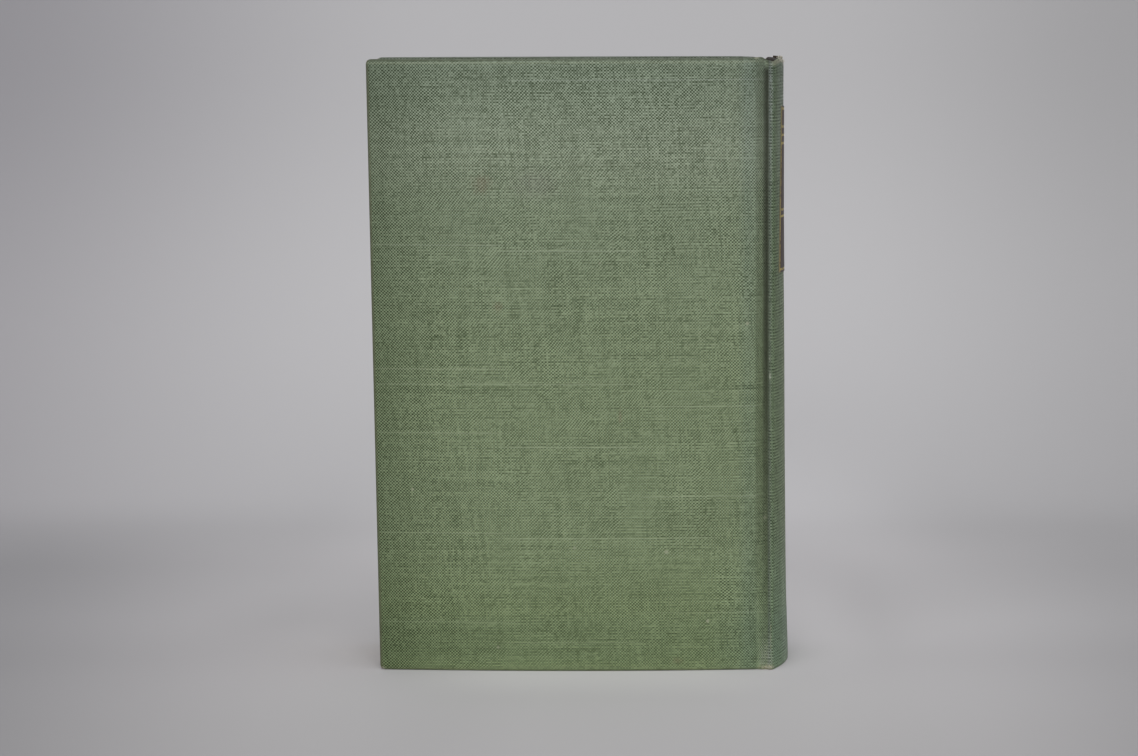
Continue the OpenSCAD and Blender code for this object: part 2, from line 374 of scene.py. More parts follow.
# How far each board's head corners stand up at the fore-edge and at the spine, and lean forward
SQUARE = {-1: (0.65, -0.2, 0.0), 1: (0.25, -0.6, -0.3)}


def ease(value, start, end):
    t = min(1.0, max(0.0, (value - start) / (end - start)))
    return t * t * (3 - 2 * t)


def read(table, place):
    """The table's value at a place, on straight lines between its entries, in metres."""
    x = place / MM
    for (x0, y0), (x1, y1) in zip(table, table[1:]):
        if x < x1:
            return (y0 + (y1 - y0) * max(0.0, (x - x0) / (x1 - x0))) * MM
    return table[-1][1] * MM


def lean(v):
    """The back's own lean: most in its middle, nothing at the ridges."""
    v.co.x += read(LEANS, v.co.z) * max(0.0, 1 - (v.co.y / TIP) ** 2)


def out_of_square(v, height, side):
    fore_up, spine_up, forward = (m * MM for m in SQUARE[side])
    across = min(1.0, (v.co.x - FORE) / (EDGE - FORE))
    v.co.z += height / HEIGHT * (fore_up + (spine_up - fore_up) * across)
    v.co.x += height / HEIGHT * forward * (1 - across)


def settle(bm, side):
    """Moves for one case piece; y is positive here, before the mirror."""
    along, rise = bm.verts.layers.float["along"], bm.verts.layers.float["rise"]
    for v in bm.verts:
        past, z = v[along] - EDGE, v[rise]
        if v.co.y > 0 and v.co.x < EDGE:
            v.co.y += bow(v.co.x)
        v.co.y += read(PRESS, past) * (1 - ease(z, 5 * MM, 50 * MM))
        if past > 6 * MM:
            lean(v)
        out_of_square(v, z, side)
        v.co.z += read(CAP[side], past) * ease(z, HEIGHT - 7 * MM, HEIGHT)


# %% [markdown]
# ## The two skins
# So far the cloth has no wall. A Solidify modifier gives it one, inward from the outside, so that
# the outside stays where the sizes put it. The rear skin has the whole back too, and the front one
# ends at the foot of its groove, where the two meet.

# %% Make the two cloth pieces
def piece(name, bm, body=None):
    """A finished mesh as an object at the origin; with a body, it rides on that body."""
    mesh = bpy.data.meshes.new(name)
    bm.to_mesh(mesh)
    bm.free()
    mesh.shade_smooth()
    obj = bpy.data.objects.new(name, mesh)
    bpy.context.scene.collection.objects.link(obj)
    if body:
        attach(obj, body)
    print("%s: %d faces" % (name, len(mesh.polygons)))
    return obj


def face_out(bm, sample):
    """Turns the whole skin so that the face nearest to a point on the outside looks outward."""
    bmesh.ops.recalc_face_normals(bm, faces=bm.faces)
    nearest = min(bm.faces, key=lambda f: (f.calc_center_median() - sample).length)
    if nearest.normal.y * sample.y < 0:
        bmesh.ops.reverse_faces(bm, faces=bm.faces)


def give_thickness(obj, thickness, offset, even):
    """A wall that goes inward with offset -1, and to both sides with 0."""
    wall = obj.modifiers.new("thickness", "SOLIDIFY")
    wall.thickness = thickness
    wall.offset = offset
    wall.use_even_offset = even


def case_piece(name, rear):
    bm = case_cloth(with_back=rear)
    unfold(bm, 0.0 if rear else 0.31)
    settle(bm, -1 if rear else 1)
    side = Vector((0, OUT + SWELL, HEIGHT / 2))
    if rear:
        bmesh.ops.scale(bm, vec=(1, -1, 1), verts=bm.verts)
        side.y = -side.y
    face_out(bm, side)
    obj = piece(name, bm)
    give_thickness(obj, CLOTH, offset=-1, even=True)
    return obj


rear_case = case_piece("rear_case_cloth", rear=True)
front_case = case_piece("front_case_cloth", rear=False)
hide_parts("rear_cloth", "spine_cloth")
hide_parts("front_cloth")

# %% [markdown]
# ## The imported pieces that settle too
# The boards, the card, the label and what lies on the back of the pages have moved with the cloth.
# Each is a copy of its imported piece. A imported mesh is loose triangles, so the copy is merged first,
# and then it is cut across every few millimetres so that it can bend. The gauze also slips a
# little at the shoulder.

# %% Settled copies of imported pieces
LABEL_LO, LABEL_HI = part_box("spine_label")
LABEL_MID = (LABEL_LO.z + LABEL_HI.z) / 2
# The label's turn in radians, and how much wider than new it has been rubbed
ASKEW = 0.053
SPREAD = 1.09
# How far the gauze has slipped below the shoulder
GAUZE_SLIP = 0.55 * MM


def lean_gauze(v):
    lean(v)
    v.co.x += GAUZE_SLIP * (1 - ease(v.co.x, SHOULDER - 1 * MM, SHOULDER + 1.3 * MM))


def lean_label(v):
    """The label is rubbed flat and wide, and pasted on a little askew; it stays on the arc."""
    y, up = v.co.y, v.co.z - LABEL_MID
    v.co.y = SPREAD * y + ASKEW * up
    v.co.z -= ASKEW * y
    v.co.x += math.sqrt(BACK_R ** 2 - v.co.y ** 2) - math.sqrt(BACK_R ** 2 - y ** 2)
    lean(v)


def settled_copy(node, body, move):
    """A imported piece, merged and cut across, and then moved corner by corner."""
    bm = bmesh.new()
    bm.from_mesh(nodes[node].data)
    bmesh.ops.transform(bm, matrix=nodes[node].matrix_world, verts=bm.verts)
    bmesh.ops.remove_doubles(bm, verts=bm.verts, dist=TINY)
    if node == "spine_label":
        # Its long thin triangles would shade as streaks
        bmesh.ops.dissolve_limit(bm, angle_limit=math.radians(0.3), verts=bm.verts, edges=bm.edges)
    cut_level(bm, 0, HEIGHT, 2 * CELL)
    for v in bm.verts:
        move(v)
    obj = piece("settled_" + node, bm, body)
    obj.data.set_sharp_from_angle(angle=math.radians(30))
    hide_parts(node)
    return obj


settled = {}
for node, slot, move in (("spine_label", "label_leather", lean_label),
                         ("spine_inlay", "inlay_card", lean), ("back_lining", "lining_paper", lean),
                         ("headband", "headband_thread", lean), ("tailband", "headband_thread", lean),
                         ("mull", "gauze", lean_gauze)):
    settled[node] = settled_copy(node, "book_block", move)
for side, name in ((-1, "rear"), (1, "front")):
    settled[name + "_board"] = settled_copy(name + "_board", name + "_cover",
                                            lambda v: out_of_square(v, v.co.z, side))

# %% [markdown]
# ## A joint that bends
# The cloth crosses each joint without a break, so it belongs to two bodies. It follows the cover
# from the board's edge on and the spine from the ridge's foot on, and it turns smoothly between.
# A cover opens by exactly half a turn, so the order of the two bodies is chosen for each side so
# that the sheet swings outward and not through the pages.

# %% Blend the cloth across the joints
foot_end = on_circle(FOOT, FOOT_R, WALL - math.pi)


def across_joint(obj, side, inner, outer, level):
    """side is -1 for the rear joint and +1 for the front one."""
    still = (inner, side * level, HEIGHT / 2)
    turning = (outer, side * (level + 0.2 * MM), HEIGHT / 2)
    if side < 0:
        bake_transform(obj, "book_block", "rear_cover", start=still, end=turning)
    else:
        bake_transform(obj, "front_cover", "book_block", start=turning, end=still)


across_joint(rear_case, -1, foot_end.x, EDGE, foot_end.y)
across_joint(front_case, 1, foot_end.x, EDGE, foot_end.y)

# %% [markdown]
# ## The fold of each endpaper
# An endpaper is one sheet folded down the middle. One half is pasted to the board and the other
# is the flyleaf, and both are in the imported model. What is missing is the strip in the joint that
# joins them, which shows as soon as the cover opens. It is an edge extruded towards the shoulder
# and spun by half a turn.

# %% Fold the endpapers
PAPER = 0.15 * MM
paste_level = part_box("front_pastedown")[0].y + PAPER / 2
fly_level = PAGE_SIDE + GLUE + PAPER / 2
PAPER_Z = (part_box("front_flyleaf")[0].z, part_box("front_flyleaf")[1].z)


def endpaper_fold(name, side):
    paste_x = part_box("front_pastedown")[1].x
    fly_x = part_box("front_flyleaf")[1].x
    mid = fly_level + 0.24 * MM
    bm = bmesh.new()
    foot = bm.verts.new((paste_x, paste_level, PAPER_Z[0]))
    head = bm.verts.new((paste_x, paste_level, PAPER_Z[1]))
    edges = [bm.edges.new((foot, head))]
    bmesh.ops.subdivide_edges(bm, edges=edges, cuts=24)
    edges = bm.edges[:]
    for i in range(1, 11):
        verts, edges = new_row(bmesh.ops.extrude_edge_only(bm, edges=edges)["geom"])
        for v in verts:
            v.co.x = paste_x + (fly_x - paste_x) * i / 10
            v.co.y = paste_level + (mid - paste_level) * ease(i, 0, 5)
    centre = Vector((fly_x, (mid + fly_level) / 2, 0))
    bmesh.ops.spin(bm, geom=with_ends(edges), cent=centre, axis=(0, 0, 1), angle=-math.pi, steps=8,
                   use_merge=False, use_duplicate=False)
    bmesh.ops.scale(bm, vec=(1, side, 1), verts=bm.verts)
    face_out(bm, Vector((paste_x, side * OUT, HEIGHT / 2)))
    obj = piece(name, bm)
    give_thickness(obj, PAPER, offset=0, even=False)
    across_joint(obj, side, fly_x, paste_x, mid)
    return obj


endpaper_folds = [endpaper_fold("rear_endpaper_fold", -1), endpaper_fold("front_endpaper_fold", 1)]

# %% [markdown]
# ## The pages
# The pages are sewn in gatherings of folded sheets. At the head and at the fore-edge, each
# gathering shows as a band, a hair out of line with its neighbours, and its folded back is
# round. One grid is bent for each gathering: across it, a share from -1 to +1 says where a leaf
# lies between the two sides of the block, and the leaf follows the swell and the shoulders. Lines
# drawn on one block would be cheaper, but the round folds at the back cast real shadows.

# %% Build the gatherings
GATHERINGS = 17
LEAVES = 272
PAGE_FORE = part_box("text_block")[0].x
PAGE_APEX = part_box("text_block")[1].x
PAGE_Z = (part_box("text_block")[0].z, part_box("text_block")[1].z)
PAGE_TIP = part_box("text_block")[1].y
HOLLOW = 4.0 * MM
# How far gatherings may differ at the fore-edge, at the tail and at the head, and how round a fold is
FORE_STEP, TAIL_STEP, HEAD_STEP = 0.16 * MM, 0.08 * MM, 0.1 * MM
FOLD_ROUND = 0.25 * MM
page_bulge = PAGE_APEX - SHOULDER
PAGE_BACK_R = (page_bulge ** 2 + TIP ** 2) / (2 * page_bulge)
FLARE_X = SHOULDER - 2.6 * MM


def half_pages(x):
    """Half the thickness of the block at x: swollen in the middle, flared at the shoulders."""
    flare = min(1.0, max(0.0, (x - FLARE_X) / (SHOULDER - FLARE_X)))
    return PAGE_SIDE + bow(x) + (PAGE_TIP - PAGE_SIDE - 0.1 * MM) * flare ** 3


def leaf_point(share, s, inset):
    """A leaf's point at s, from 0 at the fore-edge to 1 at the back."""
    fore = PAGE_FORE + HOLLOW * (1 - share ** 2) + inset
    y_back = share * (PAGE_TIP - 0.3 * MM)
    back = PAGE_APEX - PAGE_BACK_R + math.sqrt(PAGE_BACK_R ** 2 - y_back ** 2)
    x = fore + (back - fore) * s
    return x, share * half_pages(x)


def gathering(bm, leaf, number, chance):
    """One gathering: a flat grid bent to the block's outline and raised to its height."""
    lo = -1 + 2 * number / GATHERINGS
    hi = lo + 2 / GATHERINGS
    inset = chance.uniform(0, FORE_STEP)
    foot = PAGE_Z[0] + chance.uniform(0, TAIL_STEP)
    head = PAGE_Z[1] - chance.uniform(0, HEAD_STEP)
    made = bmesh.ops.create_grid(bm, x_segments=40, y_segments=4, size=0.5)["verts"]
    faces = unique(f for v in made for f in v.link_faces)
    for v in made:
        s = v.co.x + 0.5
        s -= 0.035 * math.sin(2 * math.pi * s)
        across = v.co.y * 2
        end = ease(s, 0.985, 1.0)
        narrow = 0.96 * (1 - 0.45 * end ** 2)
        share = (lo + hi) / 2 + across * narrow * (hi - lo) / 2
        round_back = FOLD_ROUND * across ** 2 * end
        x, y = leaf_point(share, s, inset)
        v.co = (x - round_back, y, foot)
        v[leaf] = share * LEAVES / 2
    up = bmesh.ops.extrude_face_region(bm, geom=faces, use_keep_orig=True)["geom"]
    verts = [g for g in up if isinstance(g, bmesh.types.BMVert)]
    bmesh.ops.translate(bm, vec=(0, 0, head - foot), verts=verts)


def pages():
    """All gatherings, leaning as the back does."""
    bm = bmesh.new()
    leaf = bm.verts.layers.float.new("leaf")
    chance = random.Random(5)
    for number in range(GATHERINGS):
        gathering(bm, leaf, number, chance)
    cut_level(bm, *PAGE_Z, 6 * CELL)
    for v in bm.verts:
        whole = read(LEANS, v.co.z) * (1 - (v[leaf] * 2 / LEAVES) ** 2)
        v.co.x += whole * ease(v.co.x, 30 * MM, SHOULDER)
    bmesh.ops.recalc_face_normals(bm, faces=bm.faces)
    obj = piece("sewn_pages", bm, "book_block")
    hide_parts("text_block")
    return obj


sewn_pages = pages()

# %% [markdown]
# ## Headbands
# A headband is a cord wound with thread of two colours, set against the back of the pages. The
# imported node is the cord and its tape. The winding is a row of small rings about it, each a
# circle spun into a ring, and every second ring takes the second colour. A helix would be truer,
# but rings follow the round back with one transform each.

# %% Wind the headbands
BAND_R = 1.0 * MM
THREAD_R = 0.18 * MM
RING_PITCH = 0.42 * MM


def ring(bm):
    """One turn of thread about the X axis of its own place, made at the origin."""
    made = bmesh.ops.create_circle(bm, segments=6, radius=THREAD_R)["verts"]
    bmesh.ops.translate(bm, vec=(BAND_R + THREAD_R * 0.4, 0, 0), verts=made)
    bmesh.ops.rotate(bm, cent=(0, 0, 0), matrix=Matrix.Rotation(math.pi / 2, 3, "X"), verts=made)
    edges = unique(e for v in made for e in v.link_edges)
    before = set(bm.verts) - set(made)
    bmesh.ops.spin(bm, geom=made + edges, cent=(0, 0, 0), axis=(0, 0, 1), angle=2 * math.pi,
                   steps=14, use_merge=True, use_duplicate=False)
    return [v for v in bm.verts if v not in before]


def winding(name, node):
    lo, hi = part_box(node)
    z = hi.z - BAND_R if hi.z > HEIGHT / 2 else lo.z + BAND_R
    centre = Matrix.Translation((PAGE_APEX - PAGE_BACK_R, 0, z))
    radius = hi.x - BAND_R - (PAGE_APEX - PAGE_BACK_R)
    upright = Matrix.Rotation(math.pi / 2, 4, "X")
    half = hi.y / (radius + BAND_R)
    count = round(2 * half * radius / RING_PITCH)
    bm = bmesh.new()
    for i in range(count + 1):
        angle = -half + 2 * half * i / count
        verts = ring(bm)
        for face in unique(f for v in verts for f in v.link_faces):
            face.material_index = i % 2
        at = centre @ Matrix.Rotation(angle, 4, "Z") @ Matrix.Translation((radius, 0, 0))
        bmesh.ops.transform(bm, matrix=at @ upright, verts=verts)
    bmesh.ops.remove_doubles(bm, verts=bm.verts, dist=TINY)
    for v in bm.verts:
        lean(v)
    bmesh.ops.recalc_face_normals(bm, faces=bm.faces)
    obj = piece(name, bm, "book_block")
    return obj


bands = [winding("headband_winding", "headband"), winding("tailband_winding", "tailband")]

# %% [markdown]
# ## Frayed threads
# Where the cap is pulled at when a book comes off its shelf, the cloth's threads break and stand
# out. Each one here is a tiny circle spun part of a turn, so that it curls over, and it grows from
# a point of the cloth's own edge. Hair would be quicker to comb, but it isn't a mesh, and the
# exported model would lose it.

# %% Frayed threads at the head and the tail
STRAND_R = 0.06 * MM


def strand(bm, root, length, curl, heading, tilt):
    made = bmesh.ops.create_circle(bm, segments=4, radius=STRAND_R)["verts"]
    before = set(bm.verts) - set(made)
    edges = unique(e for v in made for e in v.link_edges)
    bmesh.ops.spin(bm, geom=made + edges, cent=(curl, 0, 0), axis=(0, 1, 0), angle=length / curl,
                   steps=4, use_merge=False, use_duplicate=False)
    at = Matrix.Translation(root) @ Matrix.Rotation(heading, 4, "Z") @ Matrix.Rotation(tilt, 4, "Y")
    bmesh.ops.transform(bm, matrix=at, verts=[v for v in bm.verts if v not in before])


def frayed_threads():
    """Threads on the rear half of the cap, and at the foot of the rear joint."""
    places = [v.co.copy() for v in rear_case.data.vertices]
    head = [p for p in places if p.z > HEIGHT - 1.6 * MM and p.x > SHOULDER
            and -13 * MM < p.y < -2 * MM]
    tail = [p for p in places if p.z < 4 * MM and p.y < -14 * MM
            and FOOT.x - 1 * MM < p.x < SHOULDER + 1.5 * MM]
    chance = random.Random(11)
    bm = bmesh.new()
    for roots, count, up in ((head, 90, 1), (tail, 40, -1)):
        for _ in range(count):
            root = chance.choice(roots) + Vector([chance.uniform(-0.4, 0.4) * MM for _ in range(3)])
            root.z = max(root.z, 0.7 * MM)
            length = chance.uniform(0.4, 1.0) * MM
            tilt = chance.uniform(0.9, 1.9) if up > 0 else chance.uniform(0.9, 1.4)
            strand(bm, root, length, chance.uniform(0.5, 2.0) * MM, chance.uniform(-2.6, -0.4), tilt)
    for v in bm.verts:
        v.co.z = max(v.co.z, STRAND_R)
    obj = piece("frayed_threads", bm, "book_block")
    return obj


frayed = frayed_threads()

# %% [markdown]
# ## Materials: the helpers
# A colour is written as the hex value that a painter would pick, and turned to linear light once.
# One function adds a node, sets it up and links what goes in. The next two do what a finisher does
# with a brush. A share says how strong a coat is at each place: it is a product of parts, so that
# one mark can keep to several limits at once. Coats then lie one over another.

# %% Colour and node helpers
def linear(code):
    """An sRGB hex colour as linear RGBA."""
    values = [int(code[i:i + 2], 16) / 255 for i in (1, 3, 5)]
    return [v / 12.92 if v <= 0.04045 else ((v + 0.055) / 1.055) ** 2.4 for v in values] + [1.0]


def add(tree, kind, *inputs, out=0, **settings):
    """Adds a shader node; inputs are sockets, numbers or hex colours, in order or in one dict."""
    node = tree.nodes.new("ShaderNode" + kind)
    for name, value in settings.items():
        setattr(node, name, value)
    named = inputs[0] if inputs and isinstance(inputs[0], dict) else dict(enumerate(inputs))
    for key, value in named.items():
        if isinstance(value, bpy.types.NodeSocket):
            tree.links.new(value, node.inputs[key])
        else:
            node.inputs[key].default_value = linear(value) if isinstance(value, str) else value
    return node.outputs[out]


def limits_of(part):
    """The smooth changes that a part stands for: each has its two places and its two shares."""
    if len(part) == 3:
        none, full = part[1:]
        return [(none, full, 0.0, 1.0)] if none < full else [(full, none, 1.0, 0.0)]
    if len(part) == 4:
        low, high, soft = part[1:]
        return [(low - soft, low + soft, 0.0, 1.0), (high - soft, high + soft, 1.0, 0.0)]
    return [part[1:]]


def product(tree, *parts):
    """Parts multiplied together. A part is a number, a socket, or a tuple of a value with
    where it is 0 and where it is 1, or with low, high and a soft border, or with two places and
    the share at each."""
    factors = []
    for part in parts:
        if isinstance(part, tuple):
            factors += [add(tree, "MapRange", part[0], *limits, interpolation_type="SMOOTHSTEP")
                        for limits in limits_of(part)]
        else:
            factors.append(part)
    result = factors[0]
    for factor in factors[1:]:
        result = add(tree, "Math", result, factor, operation="MULTIPLY")
    return result


def coat(tree, colour, *layers):
    """Lays layers over a colour, each a hue and the parts of its share. A hex hue or a socket
    covers what lies under it, and a tint of three numbers multiplies it."""
    for hue, *parts in layers:
        tint = isinstance(hue, tuple)
        # A colour mix has its share on socket 0, its colours on 6 and 7, and its result on 2
        inputs = {0: product(tree, *parts), 6: colour, 7: (*hue, 1.0) if tint else hue}
        colour = add(tree, "Mix", inputs, out=2, data_type="RGBA",
                     blend_type="MULTIPLY" if tint else "MIX")
    return colour


def on_axes(axes, parts):
    """Parts from a table, with each axis's letter swapped for its socket."""
    return [(axes[part[0]], *part[1:]) for part in parts]


# %% Materials and how they are put on
def new_material(name, roughness, **constants):
    """A material with one Principled shader; constants go on its own sockets."""
    material = bpy.data.materials.new(name)
    material.use_nodes = True
    shader = material.node_tree.nodes["Principled BSDF"]
    shader.inputs["Roughness"].default_value = roughness
    for key, value in constants.items():
        shader.inputs[key.replace("_", " ")].default_value = value
    return material, material.node_tree, shader


def surface(tree, shader, colour, relief, strength, depth):
    """Links the finished colour, and the relief as a bump that is depth high."""
    bump = add(tree, "Bump", {"Height": relief, "Strength": strength, "Distance": depth})
    tree.links.new(colour, shader.inputs["Base Color"])
    tree.links.new(bump, shader.inputs["Normal"])


def dress(obj, *materials):
    obj.data.materials.clear()
    for material in materials:
        obj.data.materials.append(material)


# %% [markdown]
# ## Bookcloth
# Bookcloth is cotton or linen in a plain weave, dyed, filled with starch or acrylic, and glued
# over board. So it is matt, with a faint sheen along its threads, and no two threads are as thick
# or as dark as each other: the thick ones are slubs, which run on for centimetres. Real threads
# here lie about 0.5 mm apart, so the weave repeats each millimetre. A photograph of cloth would
# repeat and carry its own light, so the pattern is worked out from the place on the flat sheet:
# two cosines say which thread lies on top, and each thread gets a slow noise of its own.

# %% Weave pattern
THREAD = 0.5
# How far the warp and the weft wander from straight, and how far the warp leans, in threads
WARP_WANDER, WEFT_WANDER = 6.0, 2.0
WARP_LEAN = 0.067
# Length over which a thread's tone changes, in threads
WEFT_RUN, WARP_RUN = 130.0, 60.0
# How far apart two threads are in that noise, so that neighbours don't look alike
THREAD_GAP = 5.17
# Lumps of the noises that bend the warp and the weft, and of the patches, in millimetres
WARP_LUMP, WEFT_LUMP, PATCH = 18.0, 25.0, 4.0


def thread_tone(tree, across, along, length, seed):
    """Each thread's own slow change of tone: across picks the thread, along runs down it."""
    thread = product(tree, add(tree, "Math", across, operation="ROUND"), THREAD_GAP)
    where = add(tree, "CombineXYZ", product(tree, along, 1 / length), thread, seed)
    return add(tree, "TexNoise", {"Vector": where, "Scale": 1.0})


def weave(tree, place):
    """Plain weave on a place in millimetres: which thread is on top, the rows, and the tones."""
    wander = add(tree, "TexNoise", {"Vector": place, "Scale": 1 / WARP_LUMP})
    drift = add(tree, "TexNoise", {"Vector": place, "Scale": 1 / WEFT_LUMP})
    in_threads = add(tree, "VectorMath", place, (1 / THREAD, 1 / THREAD, 1.0), operation="MULTIPLY")
    x, y = add(tree, "SeparateXYZ", in_threads).node.outputs[:2]
    # The warp wanders and leans, and the weft stays straighter
    u = add(tree, "Math", wander, WARP_WANDER, x, operation="MULTIPLY_ADD")
    u = add(tree, "Math", u, WARP_WANDER / 2, operation="SUBTRACT")
    u = add(tree, "Math", y, WARP_LEAN, u, operation="MULTIPLY_ADD")
    v = add(tree, "Math", drift, WEFT_WANDER, y, operation="MULTIPLY_ADD")
    v = add(tree, "Math", v, WEFT_WANDER / 2, operation="SUBTRACT")
    columns, rows = (add(tree, "Math", product(tree, c, math.pi), operation="COSINE") for c in (u, v))
    # Some patches show their crossings as dots and others their rows as lines
    patches = add(tree, "TexNoise", {"Vector": place, "Scale": 1 / PATCH})
    dotted = product(tree, (patches, 0.36, 0.64, 0.6, 1.25))
    lined = add(tree, "Math", 1.8, dotted, operation="SUBTRACT")
    crossing = add(tree, "CombineXYZ", *(add(tree, "Math", c, operation="ROUND") for c in (u, v)))
    return {"over": product(tree, columns, rows, dotted), "rows": product(tree, rows, lined),
            "knots": add(tree, "TexWhiteNoise", {"Vector": crossing}, noise_dimensions="3D"),
            "weft": thread_tone(tree, v, u, WEFT_RUN, 0.0),
            "warp": thread_tone(tree, u, v, WARP_RUN, 40.0)}


# %% [markdown]
# The new cloth has that weave in two greens, a few long pale slubs, and threads that stand out
# more at the fore-edge. Everything else is placed in millimetres on the flat sheet: u runs across
# it, from the fore-edge over the joint and the back, and v runs up it from the tail.

# %% New cloth
# The fore-edge, the end of the board and the head, in millimetres on the sheet
LEFT, JOINT, TOP = FORE / MM, EDGE / MM, HEIGHT / MM
# How much each part of the weave adds to the cloth's light and dark
WEAVE = (("over", 0.67), ("rows", 0.12), ("knots", 0.5), ("weft", 0.58), ("warp", 0.5),
         ("fibre", 0.2), ("blotch", 0.12))
MID_TONE = 0.515
# Long pale slubs in the weft: from and to, past the fore-edge, and height above the tail
SLUBS = ((0, 42, 99.2), (0, 85, 94.3), (0, 42, 138.8), (0, 42, 78.5), (0, 42, 45.8), (0, 42, 16.3),
         (42, 110, 44.1), (42, 85, 73.9), (42, 85, 136.9), (42, 85, 9.6), (45, 140, 190.4),
         (85, 125, 19.4), (85, 125, 57.7), (85, 125, 87.0))
SLUB_W = 0.32


def fade(tree, value, edge, inner):
    """1 at the edge, falling to 0 at inner, fast at first."""
    left_over = add(tree, "MapRange", value, edge, inner, 1.0, 0.0)
    return product(tree, left_over, left_over)


def long_slubs(tree, place, axes):
    """1 on the long slubs, which waver a little as they run."""
    bends = add(tree, "TexNoise", {"Vector": place, "Scale": 1 / 18.0, "Detail": 1.0})
    height = add(tree, "Math", bends, 0.3, axes["v"], operation="MULTIPLY_ADD")
    height = add(tree, "Math", height, 0.15, operation="SUBTRACT")
    slubs = 0.0
    for start, end, z in SLUBS:
        slub = product(tree, (height, z - SLUB_W / 2, z + SLUB_W / 2, 0.1),
                       (axes["u"], LEFT + start, LEFT + end, 5.0))
        slubs = add(tree, "Math", slub, slubs, operation="MAXIMUM")
    return slubs


def new_cloth(tree, place, axes, threads):
    """The weave's light and dark, from 0 to 1, as two greens."""
    tone = MID_TONE
    for name, strength in WEAVE:
        middle = 0.0 if name in ("over", "rows") else -strength / 2
        part = add(tree, "Math", threads[name], strength, middle, operation="MULTIPLY_ADD")
        tone = add(tree, "Math", part, tone, operation="ADD")
    # Threads stand out more at the fore-edge, and the weft does on the spine
    stronger = {"over": product(tree, fade(tree, axes["u"], LEFT, LEFT + 45.0), 0.5),
                "rows": product(tree, (axes["u"], JOINT + 4.5, JOINT + 6.5, 0.0, 0.18))}
    for name, more in stronger.items():
        tone = add(tree, "Math", threads[name], more, tone, operation="MULTIPLY_ADD")
    return coat(tree, "#303e1f", ("#9cac88", tone), ("#a9b597", long_slubs(tree, place, axes), 0.4))


# %% [markdown]
# The cloth's tone changes slowly over the book: bluer and greyer towards the head, greener and darker
# towards the tail, darker down the spine, along the fore-edge and at the head. The turned-in cloth at the
# head is darker too, as painted shade between the boards with some dust. Each change is a tint that
# multiplies the colour, so the weave still shows through it.

# %% Tints of the cloth, with painted shade on the turned-in head
# Each tint, and the limits across and up the sheet that it keeps to
TINTS = (((1.04, 1.0, 1.25), ("v", 80.0, 215.0)),
         ((0.88, 0.91, 0.77), ("v", 60.0, 0.0)),
         # The cloth beside the joint, and the turned-in cloth at the head, darker as painted shade between
         # the boards with some dust
         ((0.9, 0.92, 0.98), ("u", JOINT - 5.0, JOINT - 0.6, 2.0)),
         ((1.0, 1.02, 1.16), ("u", JOINT - 20.0, JOINT + 1.0), ("v", 60.0, 0.0)),
         ((0.66, 0.66, 0.64), ("v", TOP + 0.8, TOP + 2.2)),
         # A dark band near the tail and a pale one below the head
         ((0.9, 0.91, 0.93), ("v", 3.0, 18.0, 3.0)),
         ((1.13, 1.1, 1.14), ("v", 158.0, 180.0, 9.0)),
         # The spine: darker as a whole and at its ridge, paler in its middle and at its foot
         ((0.9, 0.95, 0.94), ("u", JOINT + 3.5, JOINT + 6.5)),
         ((0.69, 0.65, 0.76), ("u", JOINT + 5.2, JOINT + 7.1, 0.5)),
         ((0.72, 0.74, 0.74), ("u", JOINT + 7.1, JOINT + 8.1, 0.5), ("v", 15.0, 50.0, 0.3, 1.0)),
         ((0.8, 0.83, 0.74), ("u", JOINT + 7.3, JOINT + 10.5, 0.6), ("v", 100.0, 140.0)),
         ((1.34, 1.22, 1.38), ("u", JOINT + 11.0, JOINT + 19.0)),
         ((1.24, 1.27, 1.43), ("u", JOINT + 6.5, JOINT + 9.0), ("v", 60.0, 0.0)))
# Tints that fade inward from an edge: from where, and how far in
FADES = (((0.6, 0.62, 0.58), "u", LEFT, LEFT + 45.0),
         ((0.94, 0.94, 0.94), "u", JOINT + 2.0, JOINT - 6.0),
         ((0.86, 0.87, 0.88), "v", TOP, TOP - 28.0))


def tinted_and_shaded(tree, colour, axes):
    """The slow changes of tone over a colour."""
    tints = [(tint, *on_axes(axes, parts)) for tint, *parts in TINTS]
    tints += [(tint, fade(tree, axes[axis], edge, inner)) for tint, axis, edge, inner in FADES]
    return coat(tree, colour, *tints)


# %% [markdown]
# Wear comes on top, in the order in which it happens, and painted shade with it. Stains and scuffs are ovals
# with a ragged border. The groove is darkened with painted shade and some dirt, and the rims get dark lines
# of painted shade. The ridge, the foot, the cap and the edges are rubbed, and there only the tops of the
# threads go pale, so a noise and the weave both say where.

# %% Marks of use and painted shade
# Stains and scuffs: place from the fore-edge and from the tail, half width, half height, strength
STAINS = ((36.0, 158.0, 4.5, 4.5, 0.22, "#7d5f52"), (53.0, 158.0, 11.0, 7.0, 0.14, "#7c7076"),
          (40.5, 119.0, 2.2, 2.6, 0.2, "#7d5f52"), (79.0, 84.0, 0.9, 3.4, 0.25, "#7d5f52"),
          (97.0, 3.5, 2.5, 1.6, 0.25, "#75604a"))
SCUFFS = ((93.5, 39.5, 0.8), (64.0, 41.0, 0.6), (119.5, 113.5, 0.7), (126.3, 50.0, 0.8),
          (106.8, 16.5, 0.7), (38.8, 8.0, 0.6), (12.0, 60.0, 0.5), (73.0, 133.0, 0.5), (0.9, 0.2, 1.1))
# Painted shade and dirt in the groove: its limits
GROOVE_SHADE_AND_DIRT = (("u", JOINT + 2.9, JOINT + 4.8, 0.9), ("v", 5.0, 120.0, 0.3, 0.85),
        ("v", TOP - 4.0, TOP - 1.0, 1.0, 0.2))
# Bare places on the ridge: place past the joint and from the tail, half width, half height
BARE = ((6.4, 102.0, 0.5, 0.8), (6.7, 96.7, 0.5, 1.7))
